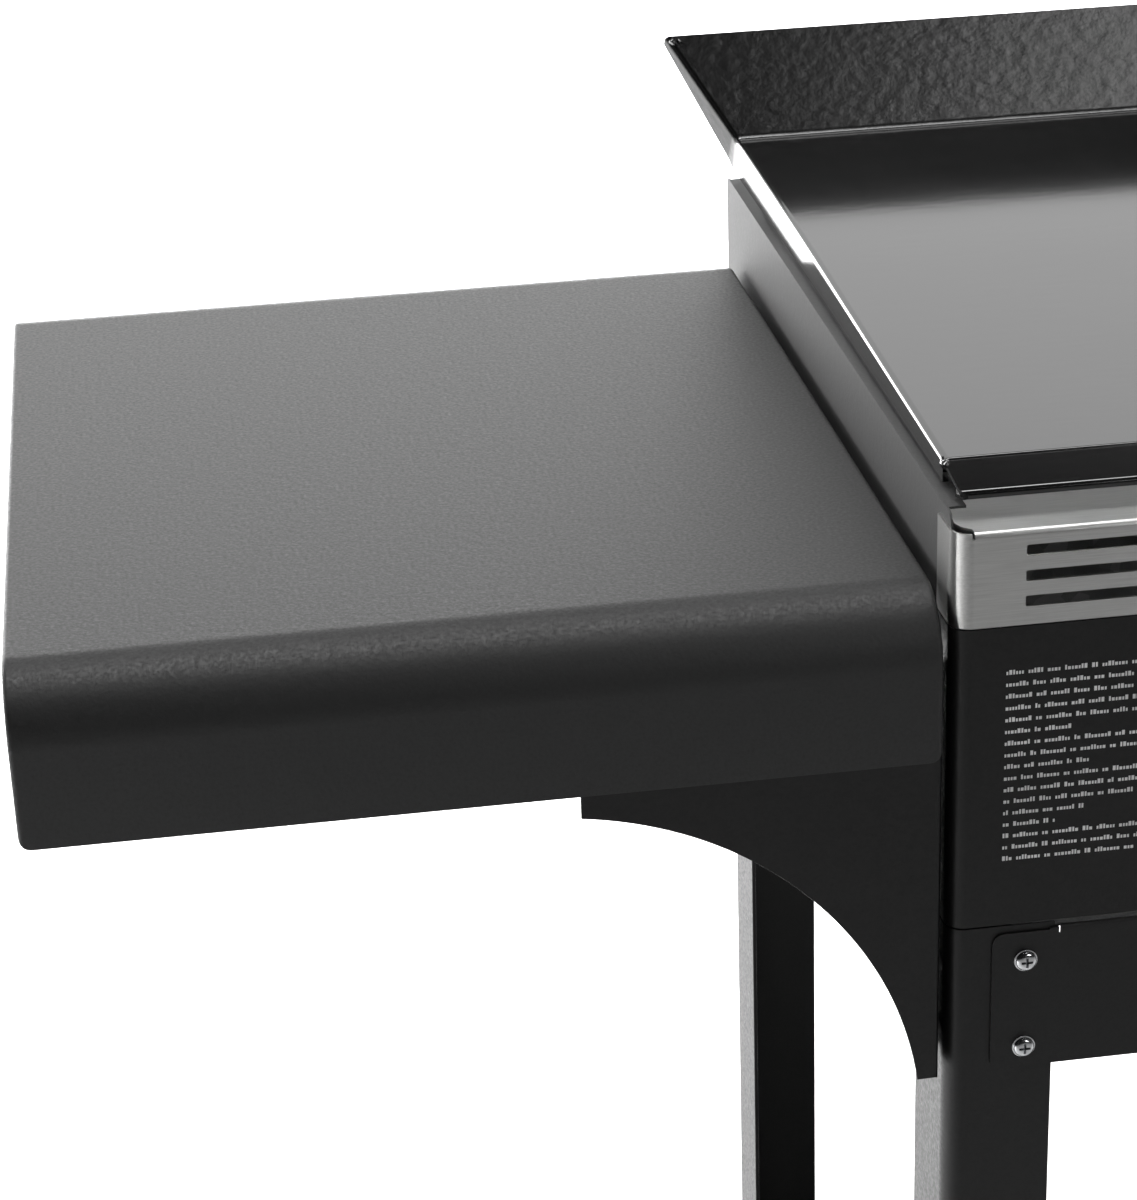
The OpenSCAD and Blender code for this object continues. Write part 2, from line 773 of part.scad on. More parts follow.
gusset(1, 1);  // gusset_rear_right
shelf_spacers();
shelf_bolts();
rail_screws();
base_screws();
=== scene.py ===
import json
import math

import bmesh
import bpy
from mathutils import Matrix, Vector, noise


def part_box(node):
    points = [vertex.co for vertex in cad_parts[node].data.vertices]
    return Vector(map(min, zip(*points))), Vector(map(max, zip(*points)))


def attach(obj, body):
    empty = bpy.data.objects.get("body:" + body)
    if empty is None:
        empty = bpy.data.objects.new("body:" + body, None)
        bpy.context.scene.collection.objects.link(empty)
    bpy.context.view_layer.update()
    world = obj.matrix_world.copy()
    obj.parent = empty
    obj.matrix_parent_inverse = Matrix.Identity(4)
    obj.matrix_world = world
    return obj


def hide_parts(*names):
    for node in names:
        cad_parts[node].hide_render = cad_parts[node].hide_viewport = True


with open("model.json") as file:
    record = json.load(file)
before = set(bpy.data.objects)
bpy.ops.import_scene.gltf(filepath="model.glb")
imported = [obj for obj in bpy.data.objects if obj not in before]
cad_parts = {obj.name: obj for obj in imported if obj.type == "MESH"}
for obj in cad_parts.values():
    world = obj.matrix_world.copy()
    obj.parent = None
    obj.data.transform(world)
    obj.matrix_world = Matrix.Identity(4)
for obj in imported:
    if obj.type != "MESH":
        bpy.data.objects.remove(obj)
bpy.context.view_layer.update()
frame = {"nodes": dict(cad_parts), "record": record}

# The looks of a gas griddle cart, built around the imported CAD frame. Metres, +Z up, +Y to the back.

MM = 0.001
SIDES = (-1, 1)
SHEET = 1 * MM
# How wide the edges of most pieces are rounded
BEVEL = 0.35 * MM
# How far each end of the backsplash leans out past the plate's floor
FLARE = 32 * MM
# How far printed marks stand proud of the panel, and how deep they start in it
INK_PROUD = 0.06 * MM
INK_DEEP = 0.1 * MM
PANEL_LOW, PANEL_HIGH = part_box("control_panel")
TRIM_LOW, TRIM_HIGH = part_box("front_trim")
PLATE_LOW, PLATE_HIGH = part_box("griddle_plate")
HALF_W = PANEL_HIGH.x
FRONT = PANEL_LOW.y
# Every material by name, filled in by main
FINISH = {}


# ---------------------------------------------------------------- shape helpers


def arc(centre, radius, start, end, steps=8):
    """Points on an arc in a plane, from one angle to another in degrees."""
    turns = [math.radians(start + (end - start) * k / steps) for k in range(steps + 1)]
    return [Vector((centre[0] + radius * math.cos(a), centre[1] + radius * math.sin(a))) for a in turns]


def rounded(points, radii, steps=8):
    """An open line through the points, with a rounding of its own at each inner corner."""
    points = [Vector(p) for p in points]
    line = [points[0]]
    for before, corner, after, radius in zip(points, points[1:], points[2:], radii):
        one = (before - corner).normalized()
        two = (after - corner).normalized()
        half = one.angle(two) / 2
        centre = corner + (one + two).normalized() * radius / math.sin(half)
        first = corner + one * radius / math.tan(half) - centre
        last = corner + two * radius / math.tan(half) - centre
        sweep = math.pi - 2 * half
        for k in range(steps + 1):
            t = k / steps
            mixed = first * math.sin((1 - t) * sweep) + last * math.sin(t * sweep)
            line.append(centre + mixed / math.sin(sweep))
    line.append(points[-1])
    return line


def offset(line, distance):
    """The open line moved sideways, to its left when distance is positive."""
    moved = []
    for k, point in enumerate(line):
        ahead = (line[k + 1] - point).normalized() if k + 1 < len(line) else None
        behind = (point - line[k - 1]).normalized() if k else None
        ahead = ahead or behind
        behind = behind or ahead
        along = (ahead + behind).normalized()
        left = Vector((-along.y, along.x))
        moved.append(point + left * distance / max(along.dot(ahead), 0.3))
    return moved


def strip(line, thickness):
    """A closed outline: a bent sheet seen end on."""
    return line + offset(line, thickness)[::-1]


AXES = {
    "X": lambda a, b, c: (c, a, b),
    "Y": lambda a, b, c: (a, c, b),
    "Z": lambda a, b, c: (a, b, c),
}


def join(bm, one, two):
    """Quads between two closed loops of as many points."""
    for k in range(len(one)):
        j = (k + 1) % len(one)
        bm.faces.new((one[k], one[j], two[j], two[k]))


def solid(bm, bottom, top):
    """A closed solid between two outlines of as many points."""
    lower = [bm.verts.new(p) for p in bottom]
    upper = [bm.verts.new(p) for p in top]
    bm.faces.new(lower[::-1])
    bm.faces.new(upper)
    join(bm, lower, upper)


def prism(bm, outline, axis, low, high):
    """A closed solid of a flat outline, drawn across one axis, from low to high on that axis."""
    place = AXES[axis]
    solid(bm, [place(p[0], p[1], low) for p in outline], [place(p[0], p[1], high) for p in outline])


def slab(bm, outline, axis, one, two):
    """A prism between two places on its axis, given in either order."""
    prism(bm, outline, axis, min(one, two), max(one, two))


def crate(bm, one, two):
    """A block between two opposite corners, given in any order."""
    block(bm, [min(a, b) for a, b in zip(one, two)], [max(a, b) for a, b in zip(one, two)])


def block(bm, low, high):
    """A plain box between two corners, for a piece that is bevelled afterwards."""
    corners = [(low[0], low[1]), (high[0], low[1]), (high[0], high[1]), (low[0], high[1])]
    prism(bm, corners, "Z", low[2], high[2])


def lathe(bm, profile, centre, axis, steps=48):
    """A turned solid: profile is (distance along the axis, radius), from end to end."""
    turn = Vector((0, 0, 1)).rotation_difference(Vector(axis).normalized()).to_matrix()
    rings = []
    for along, radius in profile:
        spots = [(0, 0, along)]
        if radius > 1e-7:
            circle = [2 * math.pi * k / steps for k in range(steps)]
            spots = [(radius * math.cos(a), radius * math.sin(a), along) for a in circle]
        rings.append([bm.verts.new(Vector(centre) + turn @ Vector(p)) for p in spots])
    for one, two in zip(rings, rings[1:]):
        if len(one) == len(two):
            join(bm, one, two)
            continue
        for k in range(steps):
            j = (k + 1) % steps
            if len(one) == 1:
                bm.faces.new((one[0], two[j], two[k]))
            else:
                bm.faces.new((one[k], one[j], two[0]))
    for ring, flip in ((rings[0], True), (rings[-1], False)):
        if len(ring) > 1:
            bm.faces.new(ring[::-1] if flip else ring)


def y_ring(bm, centre, along, radii):
    """A circle of points about a Y axis, with a radius for each."""
    ring = []
    for k, r in enumerate(radii):
        a = 2 * math.pi * k / len(radii)
        ring.append(bm.verts.new(centre + Vector((r * math.cos(a), along, r * math.sin(a)))))
    return ring


def ring_solid(bm, profile, centre, steps):
    """A closed ring about a Y axis; profile is (distance along Y, radius), and closes on itself."""
    rings = [y_ring(bm, centre, along, [radius] * steps) for along, radius in profile]
    for one, two in zip(rings, rings[1:] + rings[:1]):
        join(bm, one, two)


def grid(bm, rows):
    """A sheet of quads through rows of points."""
    made = [[bm.verts.new(p) for p in row] for row in rows]
    for one, two in zip(made, made[1:]):
        for k in range(len(one) - 1):
            bm.faces.new((one[k], one[k + 1], two[k + 1], two[k]))


def axis_point(low, high):
    """The middle of a box in X and Z, with its rear face's Y, for a piece turned about Y."""
    return Vector(((low.x + high.x) / 2, high.y, (low.z + high.z) / 2))


def islands(node):
    """(lowest corner, highest corner) of each separate solid in a CAD node, sorted by place."""
    bm = bmesh.new()
    bm.from_mesh(frame["nodes"][node].data)
    bmesh.ops.remove_doubles(bm, verts=bm.verts, dist=1e-6)
    left = set(bm.verts)
    found = []
    while left:
        stack = [left.pop()]
        group = []
        while stack:
            vert = stack.pop()
            group.append(vert.co.copy())
            for edge in vert.link_edges:
                other = edge.other_vert(vert)
                if other in left:
                    left.remove(other)
                    stack.append(other)
        low = Vector([min(p[k] for p in group) for k in range(3)])
        high = Vector([max(p[k] for p in group) for k in range(3)])
        found.append((low, high))
    bm.free()
    return sorted(found, key=lambda pair: tuple(round(x, 5) for x in pair[0]))


def bake(obj):
    """Applies the modifiers that a piece has so far."""
    graph = bpy.context.evaluated_depsgraph_get()
    mesh = bpy.data.meshes.new_from_object(obj.evaluated_get(graph))
    obj.modifiers.clear()
    obj.data = mesh


def shade(obj, angle=32):
    """Smooth shading led by the large faces, with sharp edges above an angle in degrees."""
    obj.data.shade_smooth()
    obj.data.set_sharp_from_angle(angle=math.radians(angle))
    weights = obj.modifiers.new("normals", "WEIGHTED_NORMAL")
    weights.keep_sharp = True


def combine(obj, tools, operation="DIFFERENCE"):
    """Cuts the solids in a bmesh out of a piece, or adds them to it."""
    bmesh.ops.recalc_face_normals(tools, faces=tools.faces)
    mesh = bpy.data.meshes.new("tools")
    tools.to_mesh(mesh)
    tools.free()
    tool = bpy.data.objects.new("tools", mesh)
    bpy.context.scene.collection.objects.link(tool)
    made = obj.modifiers.new("combine", "BOOLEAN")
    made.operation = operation
    made.object = tool
    made.solver = "EXACT"
    made.use_self = True
    bpy.context.view_layer.update()
    bake(obj)
    bpy.data.objects.remove(tool)


def bevel(obj, width=BEVEL, angle=35, segments=2):
    """Rounds the sharp edges of a piece."""
    made = obj.modifiers.new("edges", "BEVEL")
    made.width = width
    made.segments = segments
    made.limit_method = "ANGLE"
    made.angle_limit = math.radians(angle)
    made.miter_outer = "MITER_ARC"


def thicken(obj, thickness, even=True):
    """Gives a sheet its thickness, on the side that its faces look away from."""
    made = obj.modifiers.new("thickness", "SOLIDIFY")
    made.thickness = thickness
    made.offset = -1
    made.use_even_offset = even


def piece(name, bm, body, slot, nodes=(), coats=(), weld=True):
    """Makes an object of a mesh, rides it on its body and hides the CAD nodes that it stands for.

    It wears the slot's own finish unless coats names others.
    """
    if weld:
        bmesh.ops.remove_doubles(bm, verts=bm.verts, dist=1e-6)
    bmesh.ops.recalc_face_normals(bm, faces=bm.faces)
    mesh = bpy.data.meshes.new(name)
    bm.to_mesh(mesh)
    bm.free()
    obj = bpy.data.objects.new(name, mesh)
    bpy.context.scene.collection.objects.link(obj)
    for coat in coats or (slot,):
        obj.data.materials.append(FINISH[coat])
    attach(obj, body)
    if nodes:
        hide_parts(*nodes)
    return obj


def finished(obj, width=BEVEL, angle=35, segments=2, smooth=32):
    """Bevels a piece, applies it and shades it."""
    bevel(obj, width, angle, segments)
    bake(obj)
    shade(obj, smooth)


# ---------------------------------------------------------------- materials


class Look:
    """A node material that is being built around its Principled shader."""

    def __init__(self, name):
        self.material = bpy.data.materials.new(name)
        self.material.use_nodes = True
        self.nodes = self.material.node_tree.nodes
        self.links = self.material.node_tree.links
        self.shader = self.nodes["Principled BSDF"]

    def set(self, socket, value):
        """Gives a shader socket one value all over."""
        self.shader.inputs[socket].default_value = value

    def wear(self, socket, value):
        """Drives a shader socket with a node's output."""
        self.links.new(value, self.shader.inputs[socket])

    def node(self, kind, **values):
        """A new node with values for its inputs; a _ in a name stands for a space."""
        made = self.nodes.new("ShaderNode" + kind)
        for name, value in values.items():
            made.inputs[name.replace("_", " ")].default_value = value
        return made

    def place(self, scale=(1, 1, 1)):
        """Object coordinates, stretched."""
        place = self.node("TexCoord")
        stretch = self.node("Mapping", Scale=scale)
        self.links.new(place.outputs["Object"], stretch.inputs["Vector"])
        return stretch.outputs["Vector"]

    def grain(self, vector, scale, detail=3.0, rough=0.5):
        """A noise texture's value."""
        made = self.node("TexNoise", Scale=scale, Detail=detail, Roughness=rough)
        self.links.new(vector, made.inputs["Vector"])
        return made.outputs["Fac"]

    def spread(self, value, low, high, start_at=0.0, end_at=1.0):
        """Maps a value onto a range."""
        made = self.node("MapRange", From_Min=start_at, From_Max=end_at, To_Min=low, To_Max=high)
        self.links.new(value, made.inputs["Value"])
        return made.outputs["Result"]

    def ramp(self, value, colours):
        """A colour ramp of (place, grey or colour)."""
        made = self.node("ValToRGB")
        stops = made.color_ramp.elements
        for stop, (place, colour) in zip(stops, colours):
            stop.position = place
            stop.color = (*rgb(colour), 1)
        self.links.new(value, made.inputs["Fac"])
        return made.outputs["Color"]

    def bump(self, height, strength, distance, under=None):
        """A bump from a height value, on top of another normal if one is given."""
        made = self.node("Bump", Strength=strength, Distance=distance)
        self.links.new(height, made.inputs["Height"])
        if under is not None:
            self.links.new(under, made.inputs["Normal"])
        return made.outputs["Normal"]


def rgb(colour):
    """A colour as three numbers, from a grey or a colour."""
    return (colour,) * 3 if isinstance(colour, (int, float)) else colour


def shades(colour, change):
    """A ramp from a little darker than a colour to a little lighter."""
    dark = tuple(c * (1 - change) for c in rgb(colour))
    light = tuple(min(1, c * (1 + change)) for c in rgb(colour))
    return [(0.3, dark), (0.7, light)]


def powder(name, grey, specular, roughness, relief=0.35):
    """Satin powder coat: a fine, even orange peel with slight mottling."""
    look = Look(name)
    place = look.place()
    fine = look.grain(place, 650, 2, 0.6)
    peel = look.grain(place, 260, 2, 0.5)
    tone = look.ramp(fine, [(0.35, grey * 0.7), (0.65, grey * 1.4)])
    look.wear("Base Color", tone)
    rough = look.spread(fine, roughness - 0.1, roughness + 0.1, 0.3, 0.7)
    look.wear("Roughness", rough)
    first = look.bump(peel, relief, 0.25 * MM)
    look.wear("Normal", look.bump(fine, relief, 0.16 * MM, first))
    look.set("Specular IOR Level", specular)
    return look.material


def enamel(name, wave, wave_scale, wave_depth, roughness, specular, detail=1.0):
    """Glossy black enamel on steel, with a slow unevenness under the gloss."""
    look = Look(name)
    place = look.place(wave)
    plain = look.place()
    cloud = look.grain(plain, 14, 3)
    slow = look.grain(place, wave_scale, detail, 0.5)
    fine = look.grain(plain, 900, 2, 0.5)
    look.wear("Base Color", look.ramp(cloud, [(0.3, 0.005), (0.7, 0.008)]))
    look.wear("Roughness", look.spread(cloud, roughness * 0.85, roughness * 1.15))
    first = look.bump(slow, 1.0, wave_depth)
    look.wear("Normal", look.bump(fine, 0.08, 0.02 * MM, first))
    look.set("Specular IOR Level", specular)
    return look.material


def metal(name, colour, roughness, stretch=(1, 1, 1), scale=300, relief=0.1, change=0.12, brushed=0.0):
    """Bare or plated metal with a grain that can run along X, and then smears light across it."""
    look = Look(name)
    place = look.place(stretch)
    plain = look.place()
    lines = look.grain(place, scale, 4, 0.6)
    cloud = look.grain(plain, 25, 3)
    look.wear("Base Color", look.ramp(lines, shades(colour, change)))
    look.wear("Roughness", look.spread(cloud, roughness * 0.85, roughness * 1.15))
    look.wear("Normal", look.bump(lines, relief, 0.05 * MM))
    look.set("Metallic", 1.0)
    if brushed:
        across = look.node("CombineXYZ", Y=0.3, Z=1.0)
        look.wear("Tangent", across.outputs["Vector"])
        look.set("Anisotropic", brushed)
    return look.material


def spangled(name):
    """Galvanised sheet with crystal spangles."""
    look = Look(name)
    place = look.place()
    cells = look.node("TexVoronoi", Scale=110)
    look.links.new(place, cells.inputs["Vector"])
    split = look.node("SeparateColor")
    look.links.new(cells.outputs["Color"], split.inputs["Color"])
    tone = look.ramp(split.outputs["Red"], [(0.0, 0.34), (1.0, 0.56)])
    look.wear("Base Color", tone)
    look.wear("Roughness", look.spread(split.outputs["Green"], 0.32, 0.52))
    fine = look.grain(place, 500, 2)
    look.wear("Normal", look.bump(fine, 0.12, 0.05 * MM))
    look.set("Metallic", 0.9)
    return look.material


def plastic(name, grey, roughness, scale, relief, specular=0.45):
    """Moulded plastic or rubber with a spark-eroded grain."""
    look = Look(name)
    place = look.place()
    fine = look.grain(place, scale, 3, 0.6)
    cloud = look.grain(place, 30, 2)
    look.wear("Base Color", look.ramp(cloud, shades(grey, 0.15)))
    look.wear("Roughness", look.spread(fine, roughness - 0.06, roughness + 0.06))
    look.wear("Normal", look.bump(fine, relief, 0.1 * MM))
    look.set("Specular IOR Level", specular)
    return look.material


def floor_material():
    """Plain pale studio floor."""
    look = Look("studio_floor")
    place = look.place()
    cloud = look.grain(place, 0.6, 2)
    look.wear("Base Color", look.ramp(cloud, [(0.3, 0.86), (0.7, 0.88)]))
    look.set("Roughness", 0.9)
    look.set("Specular IOR Level", 0.1)
    return look.material


def make_materials():
    """Every finish by name: one for each slot, and a few more that share one."""
    brushed = (4, 140, 140)
    return {
        "powder_coat": powder("black_powder_coat", 0.006, 0.38, 0.44),
        "shelf_coat": powder("shelf_powder_coat", 0.006, 0.7, 0.60),
        # The side panels wear the black powder coat with a lighter grey base: painted light, standing in
        # for the light that falls on their faces
        "side_coat_painted_light": powder("side_powder_coat_painted_light", 0.05, 0.5, 0.62),
        "enamel": enamel("enamel_flat", (1, 3.5, 3.5), 60, 0.02 * MM, 0.12, 1.0),
        "enamel_splash": enamel("enamel_hammered", (0.8, 1.2, 1.2), 150, 0.3 * MM, 0.25, 0.5, 4.0),
        "trim_steel": metal("brushed_stainless", (0.6, 0.6, 0.59), 0.30, brushed, 12, 0.3, 0.10, 0.8),
        "dial_steel": metal("turned_stainless", (0.6, 0.6, 0.6), 0.3, scale=200, relief=0.1),
        "bright_zinc": metal("bright_zinc", (0.66, 0.67, 0.68), 0.2, scale=120, relief=0.08),
        "burner_steel": metal("burner_steel", (0.42, 0.41, 0.39), 0.42, scale=80, relief=0.2),
        "galvanised": spangled("galvanised_sheet"),
        "tap_brass": metal("tap_brass", (0.62, 0.47, 0.22), 0.3, scale=90, relief=0.08),
        "knob_plastic": plastic("knob_plastic", 0.012, 0.36, 1500, 0.2),
        "wheel_plastic": plastic("wheel_plastic", 0.016, 0.5, 900, 0.4),
        "foot_plastic": plastic("foot_plastic", 0.014, 0.48, 900, 0.4),
        "tyre_rubber": plastic("tyre_rubber", 0.020, 0.78, 500, 0.6, 0.25),
        "ceramic": plastic("ceramic", (0.72, 0.70, 0.65), 0.22, 200, 0.05, 0.5),
        "lead_sleeve": plastic("lead_sleeve", 0.02, 0.42, 700, 0.1),
        "mark_ink": plastic("mark_ink", 0.72, 0.5, 1200, 0.05, 0.3),
    }


# ---------------------------------------------------------------- folded sheet pieces


def sided(stem, side):
    """The node's name on the left (-1) or right (1)."""
    return stem + ("_left" if side < 0 else "_right")


def ended(stem, end):
    """The node's name at the front (-1) or rear (1)."""
    return stem + ("_front" if end < 0 else "_rear")


def build_shelf(side):
    """A side shelf: one sheet rolled down at the front and back, with drawn ends turned under."""
    name = sided("shelf", side)
    low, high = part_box(name)
    roll = 28 * MM
    bend = 2 * MM
    lip = 14 * MM
    turned_in = 32 * MM
    corner = 5 * MM
    middle = (low.y + high.y) / 2
    half = (high.y - low.y) / 2

    def section(inset, lift):
        """Points across the shelf, front to back, drawn in by inset, with the skirts cut up by lift."""
        radius = max(roll - inset, 0.5 * MM)
        depth = half - inset
        top = high.z - inset
        front = arc((middle - depth + radius, top - radius), radius, 180, 90, 12)
        rear = arc((middle + depth - radius, top - radius), radius, 90, 0, 12)
        foot = low.z + lift
        return [Vector((middle - depth, foot)), *front, *rear, Vector((middle + depth, foot))]

    near = low.x if side > 0 else high.x
    far = high.x if side > 0 else low.x
    turn = [math.radians(90 * k / 5) for k in range(6)]
    ends = [(0.0, lip)]
    ends += [(bend * (1 - math.cos(a)), bend * (1 - math.sin(a))) for a in turn]
    ends += [(k * MM, 0.0) for k in (2.6, 3.6, 5)]
    stations = [(near, turned_in, corner)]
    stations += [(near + side * along, inset, corner_lift(along)) for along, inset in ends]
    stations += [(far - side * along, inset, corner_lift(along)) for along, inset in ends[::-1]]
    bm = bmesh.new()
    grid(bm, [[(x, p.x, p.y) for p in section(inset, lift)] for x, inset, lift in stations])
    obj = piece(name + "_sheet", bm, "cart", "shelf_coat", [name])
    inside = Vector(((near + far) / 2, middle, low.z))
    if obj.data.polygons[0].normal.dot(obj.data.polygons[0].center - inside) < 0:
        obj.data.flip_normals()
    thicken(obj, SHEET)
    bake(obj)
    finished(obj, 0.3 * MM, 50, 2, 40)


def corner_lift(along, radius=5 * MM):
    """How far a round corner rises above a skirt's lower edge, at a distance from the skirt's end."""
    rest = max(0.0, radius - along)
    return radius - math.sqrt(radius**2 - rest**2)


def build_gusset(side, end):
    """A corner gusset: a plate with a hollow quarter-round edge and two turned flanges."""
    name = sided(ended("gusset", end), side)
    low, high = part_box(name)
    near = low.x if side > 0 else high.x
    wide = high.x - low.x
    tall = high.z - low.z
    face = low.y if end < 0 else high.y
    reach = 166 * MM
    radius = 159 * MM
    drop = 200.5 * MM
    rise = math.sqrt(radius**2 - (reach - wide) ** 2)
    begin = 180 - math.degrees(math.atan2(rise, reach - wide))
    finish_at = 180 + math.degrees(math.asin((tall - drop) / radius))
    hollow = arc((reach, -drop), radius, begin, finish_at, 40)
    outline = [Vector((0, 0)), Vector((wide, 0))]
    outline += [p for p in hollow if p.y <= 0 and p.x <= wide + 1e-6 and p.y >= -tall]
    outline += [Vector((hollow[-1].x, -tall)), Vector((0, -tall))]
    flat = [(near + side * p.x, high.z + p.y) for p in outline]
    bm = bmesh.new()
    inner = face - end * SHEET
    slab(bm, flat, "Y", face, inner)
    edge = near + side * SHEET
    crate(bm, (near, low.y, low.z), (edge, high.y, high.z))
    # A return at the back closes the slit between the gusset and the leg
    gap = near - side * 3.4 * MM
    rear = high.y if end < 0 else low.y
    crate(bm, (gap, rear, low.z + 2 * MM), (edge, rear + end * SHEET, high.z))
    block(bm, (low.x, low.y, high.z - SHEET), high)
    obj = piece(name + "_plate", bm, "cart", "powder_coat", [name], weld=False)
    finished(obj, 0.3 * MM, 50)


def build_leg(side, end):
    """A folded L leg with a round outer corner."""
    name = sided(ended("leg", end), side)
    low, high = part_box(name)
    corner = Vector((low.x if side < 0 else high.x, low.y if end < 0 else high.y))
    wide = high.x - low.x
    deep = high.y - low.y
    ends = (corner.x, corner.y - end * deep), (corner.x - side * wide, corner.y)
    line = rounded([ends[0], corner, ends[1]], [8 * MM], 10)
    bm = bmesh.new()
    prism(bm, strip(line, side * end * 2 * SHEET), "Z", low.z, high.z)
    obj = piece(name + "_fold", bm, "cart", "powder_coat", [name])
    finished(obj, 0.4 * MM, 50)


def build_rail(end):
    """A rail plate with round corners, relief notches and a stiffening flange turned in along its top."""
    name = "front_rail" if end < 0 else "rear_rail"
    low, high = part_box(name)
    face = low.y if end < 0 else high.y
    flange = high.x - 28.5 * MM
    tab = flange + 4.4 * MM
    relief = flange + 0.6 * MM
    lobe = high.z - 1.8 * MM
    shelf = high.z - SHEET
    notch = lobe - 2 * MM
    r = 5 * MM
    outline = arc((high.x - r, lobe - r), r, 0, 90, 6)
    outline += [(tab, lobe), (tab, shelf), (relief, shelf)]
    outline += [(relief, notch), (-relief, notch)]
    outline += [(-relief, shelf), (-tab, shelf), (-tab, lobe)]
    outline += arc((low.x + r, lobe - r), r, 90, 180, 6)
    outline += arc((low.x + r, low.z + r), r, 180, 270, 6)
    outline += arc((high.x - r, low.z + r), r, 270, 360, 6)
    inner = face - end * SHEET
    bm = bmesh.new()
    slab(bm, outline, "Y", face, inner)
    obj = piece(name + "_plate", bm, "cart", "powder_coat", [name], weld=False)
    back = face - end * (high.y - low.y)
    bend = rounded([(face, lobe - 4 * MM), (face, high.z), (back, high.z)], [1.6 * MM], 8)
    fold = bmesh.new()
    prism(fold, strip(bend, end * SHEET), "X", -flange, flange)
    crate(fold, (-tab, inner, shelf), (tab, back, high.z - 0.01 * MM))
    combine(obj, fold, "UNION")
    finished(obj, 0.3 * MM, 50)


def wrap_line(depth, radius):
    """Plan line of a sheet wrapped around the front of the body, left return to right return."""
    back = FRONT + depth
    corners = [(-HALF_W, back), (-HALF_W, FRONT), (HALF_W, FRONT), (HALF_W, back)]
    return rounded(corners, [radius, radius], 12)


def build_panel():
    """The control panel: one sheet wrapped around the front corners."""
    bm = bmesh.new()
    outline = strip(wrap_line(PANEL_HIGH.y - PANEL_LOW.y, 8 * MM), SHEET)
    prism(bm, outline, "Z", PANEL_LOW.z, PANEL_HIGH.z)
    obj = piece("control_panel_sheet", bm, "cart", "powder_coat", ["control_panel"])
    finished(obj, 0.4 * MM, 50)


def build_trim():
    """The brushed trim: corners and tabs, a rolled top edge, a flange and two groups of slots."""
    roll = 2.6 * MM
    corner = 8.5 * MM
    tab = 25 * MM
    relief = 8.5 * MM
    top = TRIM_HIGH.z
    line = wrap_line(tab, corner)
    inside = offset(line, SHEET)
    bm = bmesh.new()
    prism(bm, strip(line, SHEET), "Z", TRIM_LOW.z, top - roll)
    obj = piece("front_trim_strip", bm, "cart", "trim_steel", ["front_trim"], weld=False)
    reach = HALF_W - relief
    more = bmesh.new()
    for side in SIDES:
        ends = [(p, q) for p, q in zip(line, inside) if side * p.x > reach + 0.6 * MM]
        outline = [p for p, q in ends] + [q for p, q in ends][::-1]
        prism(more, outline, "Z", top - roll - 1 * MM, top - 0.3 * MM)
        edge = side * (reach - 1 * MM)
        wide = side * (HALF_W - 3.5 * MM)
        shape = [(edge, FRONT + 4 * MM), (side * (HALF_W - 5 * MM), FRONT + 8 * MM),
                 (wide, FRONT + 12 * MM), (wide, TRIM_HIGH.y), (edge, TRIM_HIGH.y)]
        prism(more, shape, "Z", top - SHEET, top)
    bend = rounded([(FRONT, top - roll - 1 * MM), (FRONT, top), (TRIM_HIGH.y, top)], [roll], 10)
    prism(more, strip(bend, -SHEET), "X", -reach, reach)
    combine(obj, more, "UNION")
    slots = bmesh.new()
    first = 10.9 * MM
    pitch = 10.7 * MM
    tall = 4.5 * MM
    outer = HALF_W - 29 * MM
    inner = outer - 230 * MM
    r = 0.7 * MM
    for side in SIDES:
        for k in range(3):
            low = top - (first + pitch * k)
            high = low + tall
            left, right = sorted((side * outer, side * inner))
            outline = arc((right - r, high - r), r, 0, 90, 4) + arc((left + r, high - r), r, 90, 180, 4)
            outline += arc((left + r, low + r), r, 180, 270, 4) + arc((right - r, low + r), r, 270, 360, 4)
            prism(slots, outline, "Y", FRONT - 5 * MM, FRONT + 4 * MM)
    combine(obj, slots)
    finished(obj, 0.22 * MM, 50, 2, 32)


def build_side_panel(side):
    """A side of the burner box, with a round rear top corner and a flange turned in."""
    name = sided("side_panel", side)
    low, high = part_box(name)
    outer = low.x if side < 0 else high.x
    rear_r = 4 * MM
    front_r = 6 * MM
    front_top = high.z - 5 * MM
    outline = [(low.y, low.z), (high.y, low.z)]
    outline += arc((high.y - rear_r, high.z - rear_r), rear_r, 0, 90, 8)
    outline += arc((low.y + front_r, front_top - front_r), front_r, 90, 180, 6)
    bm = bmesh.new()
    inner = outer - side * SHEET
    slab(bm, outline, "X", outer, inner)
    # The panel's face wears the lighter side coat, which is painted light on the black powder coat
    obj = piece(name + "_sheet", bm, "cart", "shelf_coat", [name], ["side_coat_painted_light"], weld=False)
    flange = [(low.y + 8 * MM, front_top), (high.y - 5 * MM, high.z),
              (high.y - 5 * MM, high.z - SHEET), (low.y + 8 * MM, front_top - SHEET)]
    reach = outer - side * (high.x - low.x)
    turned = bmesh.new()
    slab(turned, flange, "X", inner, reach)
    combine(obj, turned, "UNION")
    finished(obj, 0.45 * MM, 50, 3)


# ---------------------------------------------------------------- griddle plate


def plate_marks():
    """Places on the plate's side view as (y, z): its hem, front bend, fold and backsplash top."""
    top = PLATE_HIGH.z
    bend = (PLATE_LOW.y + 24 * MM, top - 65 * MM)
    hem = (PLATE_LOW.y, bend[1] - 5.2 * MM)
    fold = (bend[0] + 421 * MM, top - 51 * MM)
    return hem, bend, fold, (fold[0] + 20 * MM, top - 0.4 * MM)


